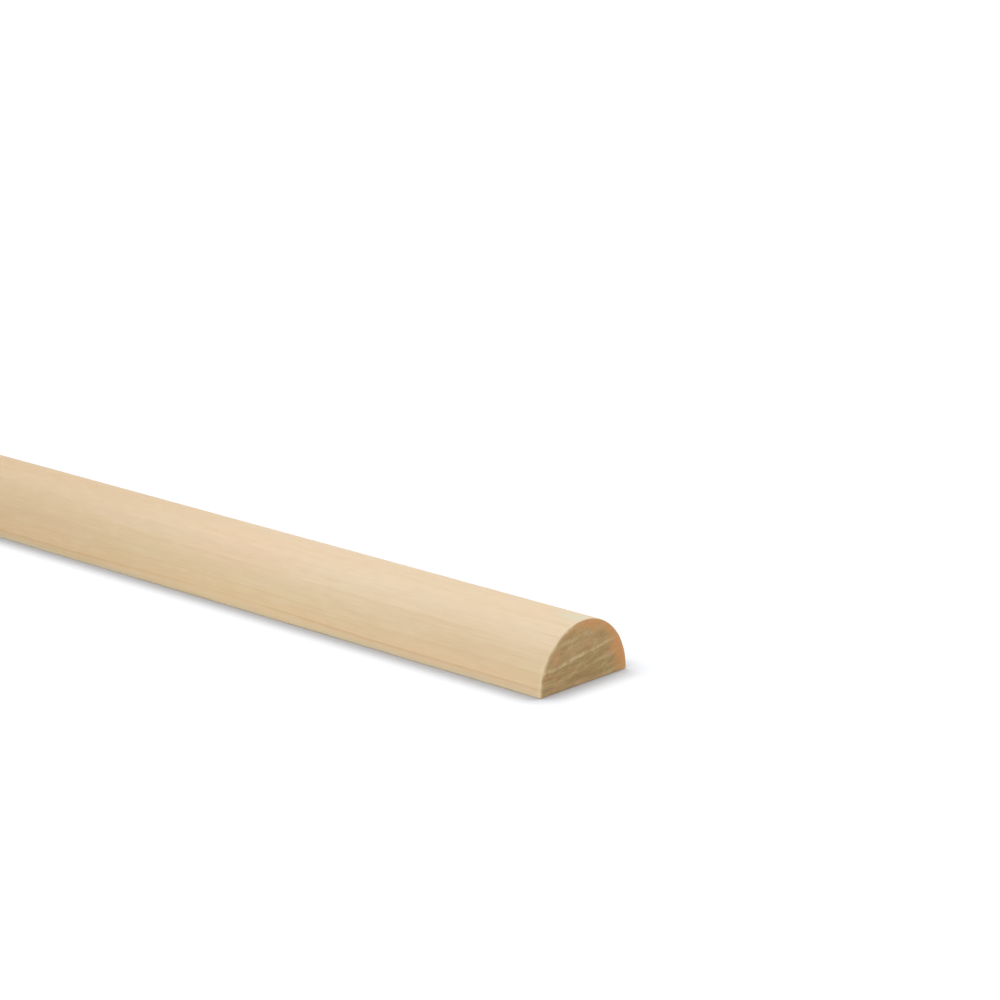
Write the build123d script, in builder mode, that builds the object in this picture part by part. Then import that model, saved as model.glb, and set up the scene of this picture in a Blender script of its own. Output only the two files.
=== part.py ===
from build123d import *
import os

# Split dowel rod: a straight wooden dowel ripped in two along its length.
# One solid piece. It lies on its sawn flat (z = 0), the rod runs along X, and
# the origin is in the middle of the flat.

# Driving dimensions, in millimetres
dowel_diameter = 19.05  # the round rod before it is ripped, 3/4 in
rod_length = 304.8  # between the two square-cut ends, 12 in
flat_below_axis = 0.3  # the saw passes this far under the dowel's own axis
arris_radius = 0.15  # easing of the two long edges beside the sawn flat
end_break_radius = 0.12  # light sanding round the rim of each cut end

with BuildPart() as half_round_rod:
    # The dowel's round section, ripped by the saw: what stays is the side above the flat
    with BuildSketch(Plane.YZ) as section:
        with Locations((0, flat_below_axis)):
            Circle(dowel_diameter / 2)
        split(bisect_by=Plane.ZX, keep=Keep.TOP)
        fillet(section.vertices(), arris_radius)
    extrude(amount=rod_length / 2, both=True)

    # Each end is cut square, then its whole rim is broken with a touch of sandpaper
    cut_ends = half_round_rod.faces().filter_by(Axis.X)
    fillet(cut_ends.edges(), end_break_radius)

half_round_rod.part.label = "half_round_rod"

os.makedirs("parts", exist_ok=True)
export_step(half_round_rod.part, "parts/half_round_rod.step")
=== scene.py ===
"""The looks of a split dowel rod: one length of birch, ripped from a round dowel, lying on its sawn flat.

The rod runs along X and lies on z = 0. The cut end that faces the camera is the +X one.
"""

import logging
import math
from dataclasses import dataclass, field
from enum import Enum

import bpy
import numpy as np
from bpy.types import Material, Mesh, NodeSocket, NodeTree, Object
from mathutils.geometry import delaunay_2d_cdt
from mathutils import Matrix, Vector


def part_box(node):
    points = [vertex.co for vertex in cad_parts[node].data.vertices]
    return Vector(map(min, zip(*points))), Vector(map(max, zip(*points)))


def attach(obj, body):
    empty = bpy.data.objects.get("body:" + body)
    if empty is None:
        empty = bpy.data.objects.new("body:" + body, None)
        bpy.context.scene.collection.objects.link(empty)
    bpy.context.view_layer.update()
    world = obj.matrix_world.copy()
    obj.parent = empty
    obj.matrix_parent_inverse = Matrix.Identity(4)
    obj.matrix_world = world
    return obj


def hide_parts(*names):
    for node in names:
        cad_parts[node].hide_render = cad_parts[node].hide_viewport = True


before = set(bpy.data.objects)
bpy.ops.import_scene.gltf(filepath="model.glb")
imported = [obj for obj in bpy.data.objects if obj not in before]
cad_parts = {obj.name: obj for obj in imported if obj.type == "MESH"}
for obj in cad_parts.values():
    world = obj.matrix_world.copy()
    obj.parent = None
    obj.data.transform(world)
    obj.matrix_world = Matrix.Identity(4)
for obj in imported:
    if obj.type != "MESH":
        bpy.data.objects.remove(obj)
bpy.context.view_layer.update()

log = logging.getLogger("split_dowel_rod")

MM = 0.001  # a millimetre in Blender's metres
ROD_NODE = "half_round_rod"
PIECE = "half_round_rod_wood"
BODY = "root"
SENSOR_MM = 36.0  # width of the camera's sensor
CLIP_END_M = 50.0  # how far the camera sees

# Numbers that the mesh carries for the wood's finishes
RING = "growth_ring"  # how many growth rings lie below this point
TAN = "tan_drift"  # 0 to 1, how far the wood has turned to tan along the rod, with painted shade over the far side of the crest
PALE = "pale_wood"  # 0 to 1, pale worn edges: a painted highlight on the rims, painted light on the low long edges
LOW_AND_CREST_LIGHT = "pale_sapwood"  # 0 to 1, painted light low on the long faces, over a pale line on the wood, and a painted highlight on the near crest
BROWN = "end_brown"  # 0 to 1, browning along the rim of a cut end
BAKE_MAP = "OFBake"  # the UV map that an export bakes through

Array = np.ndarray  # numbers for many points at once

# Settings that many of the finishes' nodes share
COLOURS = {"data_type": "RGBA"}
SOFT = {"interpolation_type": "SMOOTHSTEP"}


# ---------------------------------------------------------------- small tools


def linear(hex_colour: str) -> tuple[float, float, float, float]:
    """Turns a colour as the eye names it into the light that Blender works with.

    Args:
        hex_colour: an sRGB colour, such as "#E9D2B2".

    Returns:
        Linear red, green and blue, with an alpha of 1.
    """
    parts = (int(hex_colour[i : i + 2], 16) / 255 for i in (1, 3, 5))
    light = [p / 12.92 if p <= 0.04045 else ((p + 0.055) / 1.055) ** 2.4 for p in parts]
    return light[0], light[1], light[2], 1.0


def add_node(
    tree: NodeTree,
    kind: str,
    output: str,
    inputs: dict[str, object] | None = None,
    settings: dict[str, object] | None = None,
) -> NodeSocket | None:
    """Adds a node with its settings and links.

    Args:
        tree: the node tree that gets the node.
        kind: the node's type, such as "ShaderNodeMath".
        output: identifier of the output to return, or "" for a node that ends its tree.
        inputs: input identifier to a plain value, or to the output that feeds it.
        settings: properties of the node. "stops" lists a colour ramp's places, each with a hex
            colour or with a number from 0 to 1.

    Returns:
        The named output.
    """
    node = tree.nodes.new(kind)
    for name, value in (settings or {}).items():
        if name == "stops":
            ramp = node.color_ramp.elements
            while len(ramp) < len(value):
                ramp.new(1.0)
            for element, (place, tone) in zip(ramp, value, strict=True):
                element.position = place
                element.color = linear(tone) if isinstance(tone, str) else (tone, tone, tone, 1.0)
        else:
            setattr(node, name, value)
    for identifier, value in (inputs or {}).items():
        socket = next(s for s in node.inputs if s.identifier == identifier)
        if isinstance(value, NodeSocket):
            tree.links.new(value, socket)
        else:
            socket.default_value = value
    return next((s for s in node.outputs if s.identifier == output), None)


def value_noise(u: Array, v: Array, seed: int) -> Array:
    """Smooth random values over a plane.

    Args:
        u: first coordinate, one unit to a random value.
        v: second coordinate, likewise.
        seed: which table of random values is used.

    Returns:
        Values from -1 to 1, of the shape of u.
    """
    size = 256
    table = np.random.default_rng(seed).uniform(-1.0, 1.0, (size, size))
    cell_u, cell_v = np.floor(u).astype(int), np.floor(v).astype(int)
    part_u, part_v = u - cell_u, v - cell_v
    part_u, part_v = (p * p * (3.0 - 2.0 * p) for p in (part_u, part_v))
    corners = [
        [table[(cell_u + i) % size, (cell_v + j) % size] for i in (0, 1)] for j in (0, 1)
    ]
    low, high = (a * (1.0 - part_u) + b * part_u for a, b in corners)
    return low * (1.0 - part_v) + high * part_v


def smooth_step(low: float, high: float, x: Array) -> Array:
    """0 below low, 1 above high, and an S-curve between them."""
    t = np.clip((x - low) / (high - low), 0.0, 1.0)
    return t * t * (3.0 - 2.0 * t)


# ---------------------------------------------------------------- the tree inside the rod


@dataclass(frozen=True)
class GrowthRings:
    """The tree's growth rings, which cross the rod's section as nearly flat layers.

    Attributes:
        edges_mm: height of each ring's edge above the flat, in the middle of the near end.
        rise_deg: how steeply the layers climb towards +Y.
        level_out_mm: how far they stay up where they level out, close to the -Y side.
        level_out_between_mm: how far from the middle they begin and end to level out.
        sway_mm: how far the layers rise and sink in long waves along the rod.
        sway_length_mm: length of those waves.
        ripple_mm: how far they wander more locally, which draws pointed arches on the back.
        ripple_along_mm: length of that wandering along the rod.
        ripple_across_mm: its width across the rod.
        line_mm: half the width of the hard line that ends a ring.
    """

    edges_mm: tuple[float, ...] = (-6.2, -3.1, -0.3, 2.4, 4.45, 7.55, 10.4, 13.3, 16.0)
    rise_deg: float = 7.9
    level_out_mm: float = 0.35
    level_out_between_mm: tuple[float, float] = (5.0, 9.5)
    sway_mm: float = 0.30
    sway_length_mm: float = 440.0
    ripple_mm: float = 0.35
    ripple_along_mm: float = 42.0
    ripple_across_mm: float = 5.5
    line_mm: float = 0.17

    @property
    def usual_mm(self) -> float:
        """The usual thickness of a ring."""
        return (self.edges_mm[-1] - self.edges_mm[0]) / (len(self.edges_mm) - 1)

    def coordinate(self, points_mm: Array, near_end_mm: float) -> Array:
        """Counts the rings below each point.

        Args:
            points_mm: points in the rod's frame, one to a row.
            near_end_mm: where the near end is along X, where the layers are as edges_mm says.

        Returns:
            A ring number for each point, with a whole number at each ring's edge.
        """
        x, y, z = points_mm.T
        back = near_end_mm - x
        sway = self.sway_mm * np.sin(2.0 * math.pi * back / self.sway_length_mm)
        settle = smooth_step(0.0, self.ripple_along_mm, back)
        ripple = self.ripple_mm * value_noise(
            x / self.ripple_along_mm, y / self.ripple_across_mm, seed=11
        )
        level_out = self.level_out_mm * smooth_step(*self.level_out_between_mm, -y)
        layer = z - y * math.tan(math.radians(self.rise_deg)) - level_out - sway + settle * ripple
        return np.interp(layer, self.edges_mm, np.arange(len(self.edges_mm)))

    def ridge(self, ring: Array) -> Array:
        """1 on the hard line between two rings, falling to 0 within the rings.

        Args:
            ring: ring numbers, as coordinate gives them.

        Returns:
            How much of the hard line each point has.
        """
        away_mm = np.abs(ring - np.round(ring)) * self.usual_mm
        return np.exp(-((away_mm / self.line_mm) ** 2))


# ---------------------------------------------------------------- finishes


class WoodFace(Enum):
    """The rod's three kinds of surface, as material places on its mesh."""

    BACK = 0
    FLAT = 1
    END = 2


@dataclass(frozen=True)
class Birch:
    """What every face of the rod shares: birch, a pale diffuse-porous wood with its fibres along X.

    Attributes:
        name: the material's own name.
        ior: refractive index of wood.
        layers: colour of the wood within each growth ring, from the lowest ring up.
        edges: how plainly the edge of each ring shows, from 0 to 1, likewise.
        roughness: how matt the wood is in its smoothest places and in its roughest.
        relief_mm: depth of the finest relief.
    """

    name: str = ""
    ior: float = 1.5
    layers: tuple[str, ...] = ()
    edges: tuple[float, ...] = ()
    roughness: tuple[float, float] = (0.6, 0.7)
    relief_mm: float = 0.02

    def build(self) -> Material:
        """Makes the material.

        Returns:
            A material of this finish's name, with the face's own look.
        """
        material = bpy.data.materials.new(self.name)
        material.use_nodes = True
        material.node_tree.nodes.clear()
        self.lay_on(material.node_tree)
        return material

    def lay_on(self, tree: NodeTree) -> None:
        """Gives the material its colours, roughness and relief, as each kind of face does for itself.

        Args:
            tree: the material's node tree.
        """
        raise NotImplementedError

    def figure(
        self, tree: NodeTree, along_mm: float, across_mm: float, detail: float = 2.0
    ) -> NodeSocket:
        """Uneven wood, drawn out along the grain.

        Args:
            tree: the material's node tree.
            along_mm: usual length of a light or dark place.
            across_mm: its width.
            detail: how many finer sizes are laid over it.

        Returns:
            Values round 0.5, seldom under 0.25 or over 0.75.
        """
        scale = tuple(1.0 / (mm * MM) for mm in (along_mm, across_mm, across_mm))
        where = add_node(tree, "ShaderNodeTexCoord", "Object")
        stretched = add_node(tree, "ShaderNodeMapping", "Vector", {"Vector": where, "Scale": scale})
        inputs = {"Vector": stretched, "Scale": 1.0, "Detail": detail}
        return add_node(tree, "ShaderNodeTexNoise", "Fac", inputs)

    def by_ring(
        self, tree: NodeTree, ring: NodeSocket, tones: tuple[str | float, ...], first: float
    ) -> NodeSocket:
        """A colour or number for each growth ring, passing softly to the next ring's.

        Args:
            tree: the material's node tree.
            ring: ring number of each point.
            tones: hex colours, or numbers from 0 to 1, from the lowest ring up.
            first: ring number of the first: 0.5 for the middle of each ring, 0 for its lower edge.

        Returns:
            The colour or number of each point.
        """
        count = len(self.layers)
        inputs = {"Value": ring, "Value_001": count}
        share = add_node(tree, "ShaderNodeMath", "Value", inputs, {"operation": "DIVIDE"})
        stops = [((i + first) / count, tone) for i, tone in enumerate(tones)]
        return add_node(tree, "ShaderNodeValToRGB", "Color", {"Fac": share}, {"stops": stops})

    def stained(self, tree: NodeTree, ring: NodeSocket, tones: tuple[tuple, ...]) -> NodeSocket:
        """The growth rings' own colours, turned towards each tone where its pattern runs high.

        Args:
            tree: the material's node tree.
            ring: ring number of each point.
            tones: one row to a tone, in the order they are laid on: its pattern, the value at
                which it sets in, the value at which it is fullest, which may lie below the first,
                how far the wood turns there, from 0 to 1, and its hex colour.

        Returns:
            The stained colour.
        """
        colour = self.by_ring(tree, ring, self.layers, 0.5)
        for pattern, low, high, share, tone in tones:
            inputs = {"Value": pattern, "From Min": low, "From Max": high, "To Max": share}
            amount = add_node(tree, "ShaderNodeMapRange", "Result", inputs)
            inputs = {"Factor_Float": amount, "A_Color": colour, "B_Color": linear(tone)}
            colour = add_node(tree, "ShaderNodeMix", "Result_Color", inputs, COLOURS)
        return colour

    def finish(
        self, tree: NodeTree, colour: NodeSocket, matt: NodeSocket, relief: NodeSocket
    ) -> None:
        """Puts the colour, an uneven roughness and the fine relief on the wood.

        Args:
            tree: the material's node tree.
            colour: the wood's colour.
            matt: pattern of smoother and rougher places, round 0.5.
            relief: height of the finest relief, from 0 to 1.
        """
        smooth, rough = self.roughness
        inputs = {"Value": matt, "From Min": 0.3, "From Max": 0.7, "To Min": smooth, "To Max": rough}
        roughness = add_node(tree, "ShaderNodeMapRange", "Result", inputs)
        inputs = {"Strength": 1.0, "Distance": self.relief_mm * MM, "Height": relief}
        normal = add_node(tree, "ShaderNodeBump", "Normal", inputs)
        wood = {"Base Color": colour, "Roughness": roughness, "IOR": self.ior, "Normal": normal}
        shader = add_node(tree, "ShaderNodeBsdfPrincipled", "BSDF", wood, {"label": self.name})
        add_node(tree, "ShaderNodeOutputMaterial", "", {"Surface": shader})


@dataclass(frozen=True)
class SandedLongGrain(Birch):
    """Birch, moulded round and sanded along the grain: pale, even and matt, with faint long figure.

    Attributes:
        late: the late wood's seams.
        peach: warmer places in the long figure.
        tan: what the wood turns to along the rod; over the far side of the crest it is painted shade.
        pale: pale worn edges: a painted highlight on the rims, and painted light on the low long edges.
        low_and_crest_light: painted light low on the long faces, over a pale line on the wood, and a
            painted highlight on the crest by the near end.
        vessel: cut vessels, which run dark along the grain.
        fibre: glossy fibres between them.
        patch_mm: usual length and width of the warmer places.
        curl_mm: the same for the curled fibres.
        streak_mm: the same for the streaks.
        vessel_mm: the same for a vessel, at twice a real one's width, so that it shows.
    """

    name: str = "birch_long_grain_sanded"
    # The third colour, which runs low along the near side, is partly the wood's golden band and partly
    # painted light that offsets the shade close to the floor
    layers: tuple[str, ...] = (
        "#E7CB9E", "#EACC9B", "#F2D3A5", "#EBCFA1", "#EDD4AA", "#EFD7B5", "#ECD5B1", "#EAD2AC",
    )
    edges: tuple[float, ...] = (0.25, 0.25, 0.30, 0.58, 0.10, 0.12, 0.20, 0.20, 0.20)
    late: str = "#D3AE7B"
    peach: str = "#EFC9A2"
    tan: str = "#C9A675"
    pale: str = "#F7DFB0"
    low_and_crest_light: str = "#DADABE"
    vessel: str = "#D9BB8F"
    fibre: str = "#F5E2C4"
    patch_mm: tuple[float, float] = (48.0, 5.0)
    curl_mm: tuple[float, float] = (3.0, 1.6)
    streak_mm: tuple[float, float] = (30.0, 0.9)
    vessel_mm: tuple[float, float] = (5.0, 0.16)
    roughness: tuple[float, float] = (0.55, 0.68)
    relief_mm: float = 0.02

    def lay_on(self, tree: NodeTree) -> None:
        """Gives the material its colours, roughness and relief.

        Args:
            tree: the material's node tree.
        """
        ring, tan_share, worn_and_lit_edges, low_and_crest_light = (
            add_node(tree, "ShaderNodeAttribute", "Fac", None, {"attribute_name": name})
            for name in (RING, TAN, PALE, LOW_AND_CREST_LIGHT)
        )
        phase = add_node(tree, "ShaderNodeMath", "Value", {"Value": ring}, {"operation": "FRACT"})
        patch = self.figure(tree, *self.patch_mm)
        curl = self.figure(tree, *self.curl_mm)
        streak = self.figure(tree, *self.streak_mm)
        dash = self.figure(tree, *self.vessel_mm, detail=1.0)

        # Late wood is a thin darker seam that ends sharply, and that fades here and there
        inputs = {"Value": patch, "From Min": 0.42, "From Max": 0.56, "To Min": 0.45, "To Max": 1.0}
        whole = add_node(tree, "ShaderNodeMapRange", "Result", inputs, SOFT)
        inputs = {"Value": self.by_ring(tree, ring, self.edges, 0.0), "Value_001": whole}
        late = add_node(tree, "ShaderNodeMath", "Value", inputs, {"operation": "MULTIPLY"})

        tones = (
            (phase, 0.80, 0.97, late, self.late),
            (tan_share, 0.00, 1.00, 1.00, self.tan),  # the wood turns from cream to tan along the rod, and the same tan is painted shade over the far side of the crest
            (patch, 0.48, 0.70, 0.40, self.peach),
            (curl, 0.50, 0.72, 0.09, self.vessel),  # faint shimmer of curled fibres
            (curl, 0.50, 0.28, 0.12, self.fibre),
            (streak, 0.45, 0.75, 0.18, self.vessel),
            (dash, 0.56, 0.75, 0.22, self.vessel),  # cut vessels, and glossy fibres between them
            (dash, 0.44, 0.25, 0.25, self.fibre),
            # Painted light low on the long faces and a painted highlight on the near crest
            (low_and_crest_light, 0.00, 1.00, 1.00, self.low_and_crest_light),
            # Pale worn edges: a painted highlight on the rims, and painted light on the low long edges
            (worn_and_lit_edges, 0.00, 1.00, 1.00, self.pale),
        )
        self.finish(tree, self.stained(tree, ring, tones), streak, dash)


@dataclass(frozen=True)
class SawnEndGrain(Birch):
    """Birch cut across by a fine saw: much darker than its sides, as open fibre ends swallow light.

    Attributes:
        line: the dense line that ends a ring.
        dark: open fibre ends.
        light: torn fibres that lie flat.
        olive: greener places.
        reddish: redder places.
        brown: the browned rim.
        pale: worn rims with a painted highlight, painted light at their low corners, and fibre ends that
            catch the light.
        mottle_mm: width of the greener and redder places.
        patch_mm: length of a darker or lighter patch along the rings, and its thickness.
        stroke_mm: the same for a torn stroke.
        ray_mm: the same for the rays, which stand across the rings.
        pore_mm: width of a pore, at three times a real one's, so that it shows.
        wander_mm: how far apart the places are where the rings wander to either side.
        fade_mm: the same for the places where a ring's line fades.
        blotch_mm: the same for the patches of the browned rim.
    """

    name: str = "birch_end_grain_sawn"
    layers: tuple[str, ...] = (
        "#BE9C65", "#BE9C65", "#BF9E67", "#C19F67", "#CFAB74", "#D9B278", "#DFB47A", "#DFB175",
    )
    edges: tuple[float, ...] = (0.2, 0.2, 0.3, 0.35, 0.9, 0.35, 0.3, 0.2, 0.2)
    line: str = "#EAD19E"
    dark: str = "#A78A5A"
    light: str = "#E1C291"
    olive: str = "#BAA466"
    reddish: str = "#D09C6B"
    brown: str = "#EEAA6C"
    pale: str = "#FFE9BA"
    mottle_mm: float = 2.6
    patch_mm: tuple[float, float] = (3.4, 1.1)
    stroke_mm: tuple[float, float] = (1.7, 0.34)
    ray_mm: tuple[float, float] = (0.26, 1.3)
    pore_mm: float = 0.2
    wander_mm: float = 1.8
    fade_mm: float = 1.3
    blotch_mm: float = 1.5
    roughness: tuple[float, float] = (0.80, 0.92)
    relief_mm: float = 0.05

    def along_rings(
        self, tree: NodeTree, ring: NodeSocket, along_mm: float, thick_mm: float
    ) -> NodeSocket:
        """Torn fibres, drawn out along the growth rings.

        Args:
            tree: the material's node tree.
            ring: ring number of each point.
            along_mm: usual length of a stroke along the rings.
            thick_mm: its thickness across them.

        Returns:
            Values round 0.5, as figure gives them.
        """
        where = add_node(tree, "ShaderNodeTexCoord", "Object")
        across = add_node(tree, "ShaderNodeSeparateXYZ", "Y", {"Vector": where})
        inputs = {"Value": across, "Value_001": 1.0 / (along_mm * MM)}
        u = add_node(tree, "ShaderNodeMath", "Value", inputs, {"operation": "MULTIPLY"})
        inputs = {"Value": ring, "Value_001": GrowthRings().usual_mm / thick_mm}
        v = add_node(tree, "ShaderNodeMath", "Value", inputs, {"operation": "MULTIPLY"})
        plane = add_node(tree, "ShaderNodeCombineXYZ", "Vector", {"X": u, "Y": v})
        inputs = {"Vector": plane, "Scale": 1.0, "Detail": 2.0}
        return add_node(tree, "ShaderNodeTexNoise", "Fac", inputs)

    def lay_on(self, tree: NodeTree) -> None:
        """Gives the material its colours, roughness and relief.

        Args:
            tree: the material's node tree.
        """
        ring, scorch, worn_and_lit_edges = (
            add_node(tree, "ShaderNodeAttribute", "Fac", None, {"attribute_name": name})
            for name in (RING, BROWN, PALE)
        )

        # The layers wander a little where the saw has torn them
        wander = self.figure(tree, self.wander_mm, self.wander_mm)
        inputs = {"Value": wander, "To Min": -0.10, "To Max": 0.10}
        wander = add_node(tree, "ShaderNodeMapRange", "Result", inputs)
        inputs = {"Value": ring, "Value_001": wander}
        ring = add_node(tree, "ShaderNodeMath", "Value", inputs, {"operation": "ADD"})

        # The dense last layer of each ring is a narrow pale line, fainter here and there
        inputs = {"Value": ring, "Value_001": 0.5}
        away = add_node(tree, "ShaderNodeMath", "Value", inputs, {"operation": "PINGPONG"})
        fade = self.figure(tree, self.fade_mm, self.fade_mm)
        inputs = {"Value": fade, "From Min": 0.35, "From Max": 0.62, "To Min": 0.35, "To Max": 1.0}
        whole = add_node(tree, "ShaderNodeMapRange", "Result", inputs, SOFT)
        inputs = {"Value": self.by_ring(tree, ring, self.edges, 0.0), "Value_001": whole}
        line = add_node(tree, "ShaderNodeMath", "Value", inputs, {"operation": "MULTIPLY"})

        # The rim is browned in patches
        blotch = self.figure(tree, self.blotch_mm, self.blotch_mm, detail=3.0)
        inputs = {"Value": blotch, "From Min": 0.30, "From Max": 0.60, "To Min": 0.55, "To Max": 1.0}
        uneven = add_node(tree, "ShaderNodeMapRange", "Result", inputs, SOFT)

        mottle = self.figure(tree, self.mottle_mm, self.mottle_mm)
        patch = self.along_rings(tree, ring, *self.patch_mm)
        stroke = self.along_rings(tree, ring, *self.stroke_mm)
        ray = self.along_rings(tree, ring, *self.ray_mm)
        speckle = self.figure(tree, self.pore_mm, self.pore_mm, detail=1.0)
        tones = (
            (mottle, 0.50, 0.72, 0.65, self.olive),
            (mottle, 0.48, 0.30, 0.65, self.reddish),
            (patch, 0.50, 0.72, 0.55, self.dark),
            (patch, 0.50, 0.28, 0.50, self.light),
            (stroke, 0.50, 0.74, 0.35, self.dark),
            (stroke, 0.50, 0.26, 0.40, self.light),
            (ray, 0.50, 0.74, 0.15, self.dark),
            (ray, 0.50, 0.26, 0.15, self.light),
            (speckle, 0.52, 0.72, 0.35, self.dark),
            (speckle, 0.33, 0.20, 0.30, self.pale),  # a torn fibre end here and there catches the light
            (away, 0.15, 0.02, line, self.line),
            (scorch, 0.00, 1.00, uneven, self.brown),
            # Pale worn rims, with a painted highlight on them
            (worn_and_lit_edges, 0.00, 1.00, 1.00, self.pale),
        )
        self.finish(tree, self.stained(tree, ring, tones), stroke, speckle)


@dataclass(frozen=True)
class RipSawnFlat(Birch):
    """Birch ripped lengthwise: the same pale wood, rougher, with the saw's faint marks across it.

    Attributes:
        late: late wood and dark streaks.
        mark: the bottom of a saw mark.
        tooth_mm: how far apart the saw's marks are along the rod, and their length across it.
        streak_mm: usual length and width of the streaks.
    """

    name: str = "birch_flat_rip_sawn"
    layers: tuple[str, ...] = (
        "#E0C498", "#E2C69A", "#E6CBA2", "#E2C8A0", "#E4CBA6", "#E8D0AC", "#E8D0AC", "#E6CEA8",
    )
    edges: tuple[float, ...] = (0.45,) * 9
    late: str = "#D2B182"
    mark: str = "#D3B589"
    tooth_mm: tuple[float, float] = (1.5, 60.0)
    streak_mm: tuple[float, float] = (16.0, 0.32)
    roughness: tuple[float, float] = (0.70, 0.82)
    relief_mm: float = 0.04

    def lay_on(self, tree: NodeTree) -> None:
        """Gives the material its colours, roughness and relief.

        Args:
            tree: the material's node tree.
        """
        ring = add_node(tree, "ShaderNodeAttribute", "Fac", None, {"attribute_name": RING})
        phase = add_node(tree, "ShaderNodeMath", "Value", {"Value": ring}, {"operation": "FRACT"})
        streak = self.figure(tree, *self.streak_mm)
        marks = self.figure(tree, *self.tooth_mm, detail=1.0)
        tones = (
            (phase, 0.55, 0.98, self.by_ring(tree, ring, self.edges, 0.0), self.late),
            (streak, 0.50, 0.78, 0.40, self.late),
            (marks, 0.50, 0.68, 0.35, self.mark),
        )
        inputs = {"Value": marks, "Value_001": streak}
        relief = add_node(tree, "ShaderNodeMath", "Value", inputs, {"operation": "ADD"})
        self.finish(tree, self.stained(tree, ring, tones), streak, relief)


# ---------------------------------------------------------------- the rod


@dataclass(frozen=True)
class Relief:
    """How deep the tools and the wood's own grain have marked the rod, in millimetres.

    Attributes:
        seam: softer wood between the seams of late wood, which stand proud.
        fibre: furrows between bundles of fibres.
        sanding: shallow waves left by sanding.
        knife: the narrow flat that the moulding knife left down the -Y side.
        splinter: broken wood along the two long edges.
        rip: waves across the sawn flat.
        end_seam: softer wood between the seams on a cut end.
        end_torn: torn fibres there.
        end_saw: the saw's strokes there.
    """

    seam: float = 0.012
    fibre: float = 0.008
    sanding: float = 0.02
    knife: float = 0.09
    splinter: float = 0.07
    rip: float = 0.012
    end_seam: float = 0.03
    end_torn: float = 0.015
    end_saw: float = 0.012


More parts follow.
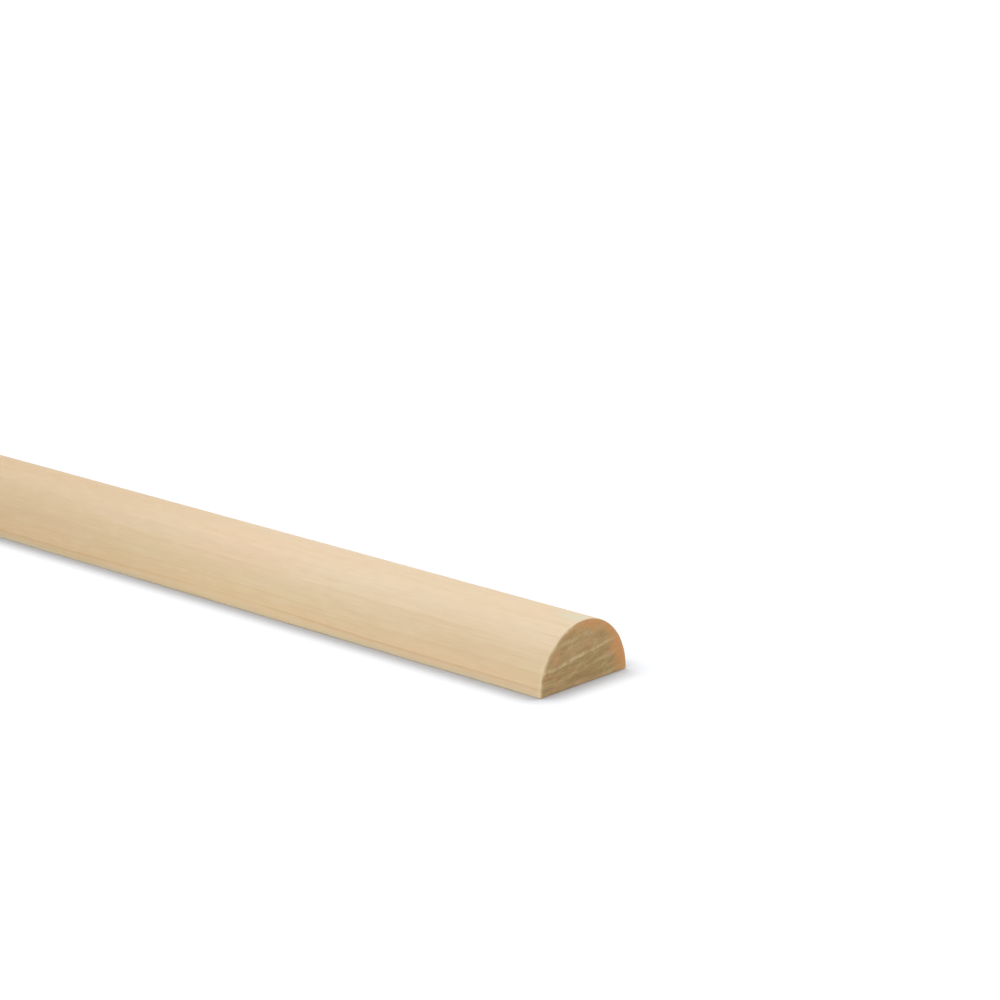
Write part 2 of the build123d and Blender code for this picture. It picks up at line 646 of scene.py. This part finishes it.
@dataclass
class HalfRoundRod:
    """The rod's own mesh, which stands for its plain solid.

    Attributes:
        length_mm: between the two cut ends.
        height_mm: from the sawn flat to the crest of the back.
        flat_below_axis_mm: how far under the dowel's axis the saw passed.
        arris_mm: radius of the two long edges.
        end_break_mm: radius of the rim round each cut end, where it is broken least.
        back_steps: faces round the back.
        arris_steps: faces round each long edge.
        flat_steps: faces across the flat.
        stations: rings of points along the rod, an odd number, so that one is in the middle.
        break_steps: faces across the rim of a cut end.
        worn_steps: how many of those, from the long faces in, show long grain.
        end_pitch_mm: spacing of the points on the cut ends.
        worn_deg: how far over the crest the rims begin to be worn, and are worn fully.
        knife_deg: how far over the crest the knife's flat is, and its width.
        rip_pitch_mm: spacing of the waves across the sawn flat.
        rings: the tree's growth rings.
        relief: how deep each mark is.
    """

    length_mm: float
    height_mm: float
    flat_below_axis_mm: float = 0.3
    arris_mm: float = 0.15
    end_break_mm: float = 0.12
    back_steps: int = 210
    arris_steps: int = 5
    flat_steps: int = 70
    stations: int = 201
    break_steps: int = 5
    worn_steps: int = 3
    end_pitch_mm: float = 0.15
    worn_deg: tuple[float, float] = (98.0, 112.0)
    knife_deg: tuple[float, float] = (130.0, 8.0)
    rip_pitch_mm: float = 9.0
    rings: GrowthRings = field(default_factory=GrowthRings)
    relief: Relief = field(default_factory=Relief)

    @property
    def radius_mm(self) -> float:
        """The dowel's own radius."""
        return self.height_mm - self.flat_below_axis_mm

    @property
    def half_length_mm(self) -> float:
        """From the middle of the rod to a cut end."""
        return self.length_mm / 2

    def turn_deg(self, y: Array, z: Array) -> Array:
        """Angle round the dowel's axis, from 0 at +Y over the crest to 180 at -Y and a little on."""
        return (np.degrees(np.arctan2(z - self.flat_below_axis_mm, y)) + 90.0) % 360.0 - 90.0

    def section(self) -> tuple[Array, Array, Array]:
        """The outline of the section, once round from the middle of the flat towards +Y.

        Returns:
            The points in Y and Z, the outward normals, and which points lie on the flat.
        """
        r, c, a = self.radius_mm, self.flat_below_axis_mm, self.arris_mm
        middle_y = math.sqrt((r - a) ** 2 - (a - c) ** 2)
        down, tilt = -math.pi / 2, math.atan2(a - c, middle_y)  # an arris meets the back at tilt
        half = self.flat_steps // 2
        stretches = (  # points, the centre's first and last Y, its Z, first and last turn, reach
            (half, 0.0, middle_y, a, down, down, a),
            (self.arris_steps, middle_y, middle_y, a, down, tilt, a),
            (self.back_steps, 0.0, 0.0, c, tilt, math.pi - tilt, r),
            (self.arris_steps, -middle_y, -middle_y, a, math.pi - tilt, 1.5 * math.pi, a),
            (half, -middle_y, 0.0, a, down, down, a),
        )
        columns = []
        for count, first_y, last_y, z, first_turn, last_turn, far in stretches:
            y = np.linspace(first_y, last_y, count, endpoint=False)
            turn = np.linspace(first_turn, last_turn, count, endpoint=False)
            columns.append(np.stack([y, np.full(count, z), turn, np.full(count, far)]))
        centre_y, centre_z, angle, reach = np.concatenate(columns, 1)
        normal = np.stack([np.cos(angle), np.sin(angle)], 1)
        points = np.stack([centre_y, centre_z], 1) + normal * reach[:, None]
        on_flat = np.zeros(len(angle), bool)
        on_flat[:half] = on_flat[-half:] = True
        return points, normal, on_flat

    def station_places(self) -> tuple[Array, Array]:
        """Where the rings of points lie along X, and how far each is drawn in by the broken rims.

        Returns:
            Places along X in millimetres, and insets in millimetres.
        """
        b = self.end_break_mm
        turn = np.linspace(0.0, math.pi / 2, self.break_steps + 1)
        rim_x = self.half_length_mm - b + b * np.sin(turn)
        rim_in = b * (1.0 - np.cos(turn))
        reach = self.half_length_mm - b
        even = np.linspace(-1.0, 1.0, self.stations)
        straight = np.sign(even) * (1.0 - (1.0 - np.abs(even)) ** 1.25) * reach  # closer near the ends
        straight = straight[1:-1]
        x = np.concatenate([-rim_x[::-1], straight, rim_x])
        inset = np.concatenate([rim_in[::-1], np.zeros(len(straight)), rim_in])
        return x, inset

    def rim_wear(self, outline: Array) -> Array:
        """How much more than the least the rim of a cut end is broken, point by point round it.

        Args:
            outline: the section's points in Y and Z.

        Returns:
            A factor from 1 to about 3.
        """
        y, z = outline.T
        turn = self.turn_deg(y, z)
        worn = smooth_step(*self.worn_deg, turn) * smooth_step(165.0, 161.0, turn)
        uneven = np.abs(value_noise(turn / 4.0, 0.0 * turn, seed=41))
        return 1.0 + 1.6 * worn + 0.5 * uneven * smooth_step(0.3, 0.9, z)

    def skin(self) -> tuple[Array, Array]:
        """The long faces and both broken rims, as a grid of points.

        Returns:
            Points with one row to a station, and which columns lie on the flat.
        """
        outline, normal, on_flat = self.section()
        places, inset = self.station_places()
        wear = self.rim_wear(outline)[None]
        drawn_in = inset[:, None] * wear
        back = self.half_length_mm - np.abs(places)[:, None]
        on_rim = back < self.end_break_mm + 1e-6
        x = np.sign(places)[:, None] * (self.half_length_mm - np.where(on_rim, back * wear, back))
        section = outline[None] - normal[None] * drawn_in[..., None]
        grid = np.concatenate([x[..., None], section], 2)
        outward = np.concatenate([np.zeros((*x.shape, 1)), np.broadcast_to(normal, section.shape)], 2)
        depth = self.skin_relief(grid, on_flat)
        return grid - outward * depth[..., None], on_flat

    def skin_relief(self, grid: Array, on_flat: Array) -> Array:
        """How far the real surface lies under the ideal one, in millimetres.

        Args:
            grid: the ideal points, one row to a station.
            on_flat: which columns lie on the sawn flat.

        Returns:
            A depth for each point.
        """
        x, y, z = np.moveaxis(grid, 2, 0)
        turn = self.turn_deg(y, z)
        around = self.radius_mm * np.radians(turn)
        ring = self.rings.coordinate(grid.reshape(-1, 3), self.half_length_mm).reshape(x.shape)
        mark = self.relief
        knife_at, knife_wide = self.knife_deg
        seams = mark.seam * (1.0 - self.rings.ridge(ring))
        fibres = mark.fibre * (1.0 + value_noise(x / 16.0, around / 0.5, seed=3))
        sanding = mark.sanding * (1.0 + value_noise(x / 34.0, around / 4.0, seed=5))
        planed = mark.knife * np.exp(-(((turn - knife_at) / knife_wide) ** 2))
        chips = np.abs(value_noise(x / 6.0, around / 0.5, seed=7))
        chips += 0.3 * np.abs(value_noise(x / 1.3, z, seed=8))
        torn = mark.splinter * smooth_step(0.8, 0.1, z) * chips
        depth = seams + fibres + sanding + planed + torn

        # Close to the two low corners of each end the wood keeps its ideal shape
        corner = smooth_step(2.0, 0.2, self.half_length_mm - np.abs(x)) * smooth_step(0.8, 0.4, z)
        ripped = mark.rip * (1.0 + np.sin(2.0 * math.pi * x / self.rip_pitch_mm))
        return np.where(on_flat[None], 0.3 * seams + 0.5 * fibres + ripped, depth * (1.0 - corner))

    def end_cap(self, rim: Array) -> tuple[Array, Array, Array]:
        """Fills a cut end with small, even triangles.

        Args:
            rim: the end's outline in Y and Z, once round.

        Returns:
            The points within the rim in Y and Z, how far each lies from it, and the triangles,
            which count the rim's own points first.
        """
        pitch = self.end_pitch_mm
        rows = np.arange(0.0, self.height_mm, pitch * math.sqrt(3.0) / 2.0)
        every_row = []
        for i, z in enumerate(rows):
            y = np.arange(-self.radius_mm, self.radius_mm, pitch) + (pitch / 2.0) * (i % 2)
            every_row.append(np.stack([y, np.full(len(y), z)], 1))
        inside = np.concatenate(every_row)
        step = np.roll(rim, -1, 0) - rim
        share = np.einsum("ijk,jk->ij", inside[:, None] - rim[None], step) / np.sum(step**2, 1)
        nearest = rim[None] + np.clip(share, 0.0, 1.0)[..., None] * step[None]
        from_rim = np.linalg.norm(inside[:, None] - nearest, axis=2).min(1)
        (turn, reach), (rim_turn, rim_reach) = (
            (np.arctan2(z, y), np.hypot(y, z))
            for y, z in ((p[:, 0], p[:, 1] - self.height_mm / 3.0) for p in (inside, rim))
        )
        order = np.argsort(rim_turn)
        within = reach < np.interp(turn, rim_turn[order], rim_reach[order], period=2.0 * math.pi)
        keep = within & (from_rim > 0.7 * pitch)
        inside, from_rim = inside[keep], from_rim[keep]
        every = [tuple(p) for p in np.concatenate([rim, inside])]
        edges = [(i, (i + 1) % len(rim)) for i in range(len(rim))]
        inside_only, merge = 1, 1e-6
        found, _, faces, origin, _, _ = delaunay_2d_cdt(every, edges, [], inside_only, merge, True)
        if len(found) != len(every):
            raise ValueError("the end's outline crosses itself")
        triangles = np.array([o[0] for o in origin])[np.array(faces)]

        # Where the rim is worn hollow, slivers lie outside it: they run round it the wrong way
        rim_only = (triangles < len(rim)).all(1)
        first, second, third = rim[np.sort(triangles[rim_only], 1)].transpose(1, 2, 0)
        one, other = second - first, third - first
        outside = np.zeros(len(triangles), bool)
        outside[rim_only] = one[0] * other[1] <= one[1] * other[0]
        return inside, from_rim, triangles[~outside]

    def end_relief(self, points_mm: Array, from_rim_mm: Array) -> Array:
        """How deep each point of a cut end lies behind the cut's own plane, in millimetres.

        Args:
            points_mm: points in the rod's frame.
            from_rim_mm: how far each lies from the rim, where the surface meets the cut's plane.

        Returns:
            A depth for each point.
        """
        _, y, z = points_mm.T
        ring = self.rings.coordinate(points_mm, self.half_length_mm)
        ridge = self.rings.ridge(ring)
        grain = value_noise(y / 0.32, z / 0.32, seed=21)
        strokes = value_noise(y / 1.8, self.rings.usual_mm * ring / 0.35, seed=25)
        saw = value_noise(y / 0.45 + 0.3 * z, z / 14.0, seed=23)
        mark = self.relief
        depth = mark.end_seam * (1.0 - ridge) + mark.end_torn * (2.0 + grain + strokes)
        depth += mark.end_saw * (1.0 + saw)
        return depth * smooth_step(0.0, 0.7, from_rim_mm)

    def browning(self, points_mm: Array) -> Array:
        """How brown the rim of a cut end is, which it is mostly at the near end and towards +Y.

        Args:
            points_mm: points in the rod's frame.

        Returns:
            A share from 0 to 1 for each point.
        """
        x, y, z = points_mm.T
        turn = self.turn_deg(y, z)
        width = 2.4 + 1.5 * smooth_step(60.0, 10.0, turn)  # in millimetres, and broader low down
        blotch = 1.0 + 0.40 * value_noise(y / 1.3, z / 1.3, seed=31)
        from_rim = (self.radius_mm - np.hypot(y, z - self.flat_below_axis_mm)) / (width * blotch)
        side = 0.14 + 0.86 * smooth_step(113.0, 84.0, turn)
        strength = (1.0 - smooth_step(0.15, 1.0, from_rim)) * side
        spot = 0.30 * np.exp(-(((y + 5.9) / 0.6) ** 2) - ((z - 5.2) / 0.8) ** 2)
        return np.where(x > 0.0, 0.95 * strength + spot, 0.35 * strength)

    def tan_and_crest_shading(self, points_mm: Array) -> Array:
        """How far the long grain has turned to tan along the rod, with painted shade over the far side of
        its crest.

        Args:
            points_mm: points in the rod's frame.

        Returns:
            A share from 0 to 1 for each point.
        """
        x, y, z = points_mm.T
        back = self.half_length_mm - x
        tan_share = 0.42 * smooth_step(48.0, 135.0, back) - 0.20 * smooth_step(165.0, 230.0, back)
        turn = self.turn_deg(y, z)
        # Painted shade over the far side of the crest, which holds back the sheen that shows there
        crest = 0.22 * smooth_step(122.0, 88.0, turn) * smooth_step(45.0, 65.0, turn)
        return tan_share * (1.0 + 0.15 * value_noise(x / 30.0, y / 3.0, seed=33)) + crest

    def wear_and_light_on_edges(self, points_mm: Array) -> Array:
        """How pale the edges are: worn rims with a painted highlight on them, and painted light on the
        low long edges.

        Args:
            points_mm: points in the rod's frame.

        Returns:
            A share from 0 to 1 for each point.
        """
        x, y, z = points_mm.T
        back = self.half_length_mm - np.abs(x)
        turn = self.turn_deg(y, z)
        on_back = smooth_step(0.7, 0.3, self.radius_mm - np.hypot(y, z - self.flat_below_axis_mm))
        worn = 0.15 + 0.85 * smooth_step(*self.worn_deg, turn) * smooth_step(166.0, 161.0, turn)
        patchy = 0.7 + 0.3 * value_noise(turn / 3.0, back, seed=37)
        worn = np.maximum(worn, 1.05 * smooth_step(165.0, 170.0, turn))
        # Worn rims with a painted highlight; painted light on the low long edges, which offsets their
        # contact shade, and a little more low at each end
        rim = 0.58 * worn * patchy * on_back * smooth_step(0.5, 0.2, back)
        long_edge = 0.60 * smooth_step(0.36, 0.10, z) * on_back
        foot = 0.09 * smooth_step(1.4, 0.3, z) * smooth_step(0.3, 0.1, back)
        return np.clip(np.maximum(rim, long_edge) + foot, 0.0, 1.0)

    def paling(self, points_mm: Array) -> Array:
        """How much painted light the wood has: low on the long faces, over a pale line on the wood, and
        as a painted highlight on the near crest.

        Args:
            points_mm: points in the rod's frame.

        Returns:
            A share from 0 to 1 for each point.
        """
        x, y, z = points_mm.T
        broken = smooth_step(-0.5, 0.4, value_noise(x / 7.0, 0.0 * y, seed=35))
        # Painted light close to the floor, which offsets the shade there, over a broken pale line on the
        # wood
        low = 0.08 * smooth_step(1.4, 0.7, z) + (0.12 + 0.24 * broken) * smooth_step(0.8, 0.3, z)
        # A painted highlight on the crest by the near end
        across = np.exp(-(((self.turn_deg(y, z) - 88.0) / 10.0) ** 2))
        crest = 0.62 * across * smooth_step(7.0, 2.5, self.half_length_mm - x)
        return np.maximum(low, crest)

    def build(self) -> Object:
        """Makes the rod's mesh, with its numbers for the finishes and its baking map.

        Returns:
            The object, not yet dressed.
        """
        grid, on_flat = self.skin()
        rows, count, _ = grid.shape
        points = [grid.reshape(-1, 3)]
        index = np.arange(rows * count).reshape(rows, count)
        a, b = index[:-1], index[1:]
        quads = np.stack([a, np.roll(a, -1, 1), np.roll(b, -1, 1), b], 2).reshape(-1, 4)
        flat_faces = np.broadcast_to(on_flat & np.roll(on_flat, -1), (rows - 1, count))
        kind = np.where(flat_faces, WoodFace.FLAT.value, WoodFace.BACK.value)
        sawn = self.break_steps - self.worn_steps
        kind[:sawn] = kind[-sawn:] = WoodFace.END.value
        faces: list[list[int]] = quads.tolist()
        kinds = kind.ravel().tolist()
        total = rows * count
        for end, row in ((1.0, rows - 1), (-1.0, 0)):
            inner, from_rim, triangles = self.end_cap(grid[row, :, 1:])
            cap = np.concatenate([np.full((len(inner), 1), end * self.half_length_mm), inner], 1)
            cap[:, 0] -= end * self.end_relief(cap, from_rim)
            renumber = np.concatenate([index[row], total + np.arange(len(inner))])
            total += len(inner)
            points.append(cap)
            wound = renumber[triangles]
            faces += (wound if end > 0 else wound[:, ::-1]).tolist()
            kinds += [WoodFace.END.value] * len(triangles)
        place = np.concatenate(points)
        mesh = bpy.data.meshes.new(PIECE)
        mesh.from_pydata((place * MM).tolist(), [], faces)
        mesh.polygons.foreach_set("material_index", kinds)
        mesh.polygons.foreach_set("use_smooth", [True] * len(faces))
        self.paint(mesh, place)
        self.lay_out_baking(mesh, place, rows, count)
        mesh.update()
        rod = bpy.data.objects.new(PIECE, mesh)
        bpy.context.scene.collection.objects.link(rod)
        return rod

    def paint(self, mesh: Mesh, place: Array) -> None:
        """Gives the mesh the numbers that its finishes read.

        Args:
            mesh: the rod's mesh.
            place: its points in millimetres.
        """
        numbers = {
            RING: self.rings.coordinate(place, self.half_length_mm),
            TAN: self.tan_and_crest_shading(place),
            PALE: self.wear_and_light_on_edges(place),
            LOW_AND_CREST_LIGHT: self.paling(place),
            BROWN: self.browning(place),
        }
        for name, values in numbers.items():
            column = mesh.attributes.new(name, "FLOAT", "POINT")
            column.data.foreach_set("value", values.astype(np.float32))

    def lay_out_baking(self, mesh: Mesh, place: Array, rows: int, count: int) -> None:
        """Lays the long faces in two strips and the cut ends beside each other, so all bake sharply.

        Args:
            mesh: the rod's mesh.
            place: its points in millimetres.
            rows: stations along the rod.
            count: points round a station.
        """
        gap = 0.004  # left free between the islands, as a share of the map
        strip = 0.395  # height of each strip, likewise
        middle = rows // 2
        skin = place[: rows * count].reshape(rows, count, 3)
        run = np.concatenate([[0.0], np.cumsum(np.linalg.norm(np.diff(skin[:, 0], axis=0), axis=1))])
        ring = skin[middle]
        girth = np.linalg.norm(np.roll(ring, -1, 0) - ring, axis=1)
        around = np.concatenate([[0.0], np.cumsum(girth)])
        step, column = np.divmod(np.arange((rows - 1) * count), count)
        far_strip = step < middle
        start = np.where(far_strip, run[0], run[middle])
        length = np.where(far_strip, run[middle] - run[0], run[-1] - run[middle])
        corner_u = run[np.stack([step, step, step + 1, step + 1], 1)]
        u = gap + (1.0 - 2.0 * gap) * (corner_u - start[:, None]) / length[:, None]
        corner_v = around[np.stack([column, column + 1, column + 1, column], 1)]
        v = np.where(far_strip, gap, 2.0 * gap + strip)[:, None] + strip * corner_v / around[-1]
        skin_map = np.stack([u, v], 2).reshape(-1, 2)

        corners = np.empty(len(mesh.loops), np.int32)
        mesh.loops.foreach_get("vertex_index", corners)
        on_ends = place[corners[len(skin_map) :]]
        foot = 3.0 * gap + 2.0 * strip
        scale = (1.0 - foot - gap) / self.height_mm
        side = np.where(on_ends[:, 0] > 0.0, 0.25, 0.75)
        end_map = np.stack([side + on_ends[:, 1] * scale, foot + on_ends[:, 2] * scale], 1)
        layer = mesh.uv_layers.new(name=BAKE_MAP)
        layer.uv.foreach_set("vector", np.concatenate([skin_map, end_map]).astype(np.float32).ravel())

    def dress(self, rod: Object) -> None:
        """Gives each kind of surface its finish.

        Args:
            rod: the object that build made.
        """
        finishes = {
            WoodFace.BACK: SandedLongGrain(),
            WoodFace.FLAT: RipSawnFlat(),
            WoodFace.END: SawnEndGrain(),
        }
        for face in WoodFace:
            rod.data.materials.append(finishes[face].build())


# ---------------------------------------------------------------- the studio


@dataclass(frozen=True)
class SoftLamp:
    """A broad, distant lamp.

    Attributes:
        name: the lamp's name.
        azimuth_deg: where it stands, turned from +X towards +Y.
        elevation_deg: how high it stands.
        level: what a white surface that faces it gives back, where 1 is white.
        spread_deg: how wide it looks.
    """

    name: str
    azimuth_deg: float
    elevation_deg: float
    level: float
    spread_deg: float

    def build(self) -> None:
        """Makes the lamp."""
        data = bpy.data.lights.new(self.name, "SUN")
        data.energy = self.level * math.pi
        data.angle = math.radians(self.spread_deg)
        lamp = bpy.data.objects.new(self.name, data)
        tilt, turn = math.radians(90.0 - self.elevation_deg), math.radians(self.azimuth_deg + 90.0)
        lamp.rotation_euler = (tilt, 0.0, turn)
        bpy.context.scene.collection.objects.link(lamp)


@dataclass(frozen=True)
class Studio:
    """White paper under a soft dome of light and two lamps, and a long lens at the near end's left.

    Attributes:
        ahead_mm: how far the camera stands past the near end, along X.
        aside_mm: how far it stands to the side, along -Y.
        above_mm: how far above the floor.
        down_deg: how far it looks down.
        turn_deg: how far it is turned from +Y towards -X.
        lens_mm: focal length.
        floor_mm: side of the paper.
        floor_gap_mm: how far the paper lies under the rod.
        paper: the paper's colour.
        paper_seen: its colour where it is seen, a shade darker, so that the rod's shadow shows.
        lift: what the paper gains where it is seen, close to the rod and in the open, to show white.
        contact_mm: how near the rod the paper's glow is held back, which paints a contact shadow over its
            own shade.
        clear_share: how open the paper's sky is where the lift sets in, and where it is full.
        dome: the dome's level, where 1 is white.
        dome_colour: the colour of its light.
        lamps: the two lamps, one behind the rod and one in front of it.
    """

    ahead_mm: float = 297.8
    aside_mm: float = 341.4
    above_mm: float = 154.8
    down_deg: float = 15.658
    turn_deg: float = 42.646
    lens_mm: float = 117.68
    floor_mm: float = 8000.0
    floor_gap_mm: float = 0.02
    paper: str = "#DCDEE1"
    paper_seen: str = "#C1C3C7"
    lift: tuple[float, float] = (0.09, 0.50)
    contact_mm: float = 4.6
    clear_share: tuple[float, float] = (0.70, 0.95)
    dome: float = 0.53
    dome_colour: str = "#FBFCFF"
    lamps: tuple[SoftLamp, ...] = (
        SoftLamp("key_behind", azimuth_deg=96.0, elevation_deg=57.5, level=0.40, spread_deg=24.0),
        SoftLamp("fill_front_left", azimuth_deg=-100.0, elevation_deg=32.0, level=0.26, spread_deg=50.0),
    )

    def camera(self, near_end_mm: float) -> None:
        """Makes the scene's camera.

        Args:
            near_end_mm: where the near end is along X.
        """
        data = bpy.data.cameras.new("camera")
        data.lens = self.lens_mm
        data.sensor_width = SENSOR_MM
        data.clip_end = CLIP_END_M
        camera = bpy.data.objects.new("camera", data)
        camera.location = [v * MM for v in (near_end_mm + self.ahead_mm, -self.aside_mm, self.above_mm)]
        camera.rotation_euler = (math.radians(90.0 - self.down_deg), 0.0, math.radians(self.turn_deg))
        bpy.context.scene.collection.objects.link(camera)
        bpy.context.scene.camera = camera

    def seen_directly(self, tree: NodeTree) -> NodeSocket:
        """Tells what is looked at from what only passes light on.

        Args:
            tree: the node tree of the floor or the dome.

        Returns:
            1 for what the camera, a reflection or a clear body shows, and 0 for light on its way.
        """
        seen = add_node(tree, "ShaderNodeLightPath", "Is Camera Ray")
        for ray in ("Is Glossy Ray", "Is Transmission Ray"):
            inputs = {"Value": seen, "Value_001": add_node(tree, "ShaderNodeLightPath", ray)}
            seen = add_node(tree, "ShaderNodeMath", "Value", inputs, {"operation": "MAXIMUM"})
        return seen

    def floor(self) -> None:
        """Lays the floor: white paper that shows white where nothing stands near it."""
        material = bpy.data.materials.new("paper_sweep_matt")
        material.use_nodes = True
        tree = material.node_tree
        tree.nodes.clear()
        seen = self.seen_directly(tree)
        inputs = {
            "Factor_Float": seen, "A_Color": linear(self.paper), "B_Color": linear(self.paper_seen),
        }
        colour = add_node(tree, "ShaderNodeMix", "Result_Color", inputs, COLOURS)
        paper = add_node(tree, "ShaderNodeBsdfDiffuse", "BSDF", {"Color": colour})
        # The glow follows how open the paper's sky is, so it is held back close to the rod: a painted
        # contact shadow laid over the real one
        inputs = {"Distance": self.contact_mm * MM}
        clear = add_node(tree, "ShaderNodeAmbientOcclusion", "AO", inputs, {"samples": 6})
        shade, full = self.clear_share
        least, most = self.lift
        inputs = {"Value": clear, "From Min": shade, "From Max": full, "To Min": least, "To Max": most}
        open_floor = add_node(tree, "ShaderNodeMapRange", "Result", inputs, SOFT)
        inputs = {"Value": seen, "Value_001": open_floor}
        strength = add_node(tree, "ShaderNodeMath", "Value", inputs, {"operation": "MULTIPLY"})
        inputs = {"Color": linear("#FFFFFF"), "Strength": strength}
        glow = add_node(tree, "ShaderNodeEmission", "Emission", inputs)
        both = add_node(tree, "ShaderNodeAddShader", "Shader", {"Shader": paper, "Shader_001": glow})
        add_node(tree, "ShaderNodeOutputMaterial", "", {"Surface": both})
        half = self.floor_mm / 2 * MM
        mesh = bpy.data.meshes.new("floor")
        corners = [(-half, -half), (half, -half), (half, half), (-half, half)]
        mesh.from_pydata([(x, y, -self.floor_gap_mm * MM) for x, y in corners], [], [(0, 1, 2, 3)])
        mesh.materials.append(material)
        floor = bpy.data.objects.new("floor", mesh)
        bpy.context.scene.collection.objects.link(floor)

    def light(self) -> None:
        """Lights the scene with an even, slightly cool dome and the two lamps."""
        world = bpy.data.worlds.new("dome")
        bpy.context.scene.world = world
        world.use_nodes = True
        tree = world.node_tree
        tree.nodes.clear()
        inputs = {"Color": linear(self.dome_colour), "Strength": self.dome}
        light = add_node(tree, "ShaderNodeBackground", "Background", inputs)
        shown = add_node(tree, "ShaderNodeBackground", "Background", {"Color": linear("#FFFFFF")})
        inputs = {"Fac": self.seen_directly(tree), "Shader": light, "Shader_001": shown}
        either = add_node(tree, "ShaderNodeMixShader", "Shader", inputs)
        add_node(tree, "ShaderNodeOutputWorld", "", {"Surface": either})
        for lamp in self.lamps:
            lamp.build()


def main() -> None:
    """Builds the rod and the studio round it."""
    logging.basicConfig(level=logging.INFO, format="%(name)s: %(message)s")
    low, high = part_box(ROD_NODE)
    rod = HalfRoundRod(length_mm=(high.x - low.x) / MM, height_mm=(high.z - low.z) / MM)
    piece = rod.build()
    rod.dress(piece)
    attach(piece, BODY)
    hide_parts(ROD_NODE)
    log.info("%s: %d points, %d faces", piece.name, len(piece.data.vertices), len(piece.data.polygons))
    studio = Studio()
    studio.floor()
    studio.light()
    studio.camera(near_end_mm=high.x / MM)
    bpy.context.scene.view_settings.view_transform = "Standard"


if __name__ == "__main__":
    main()
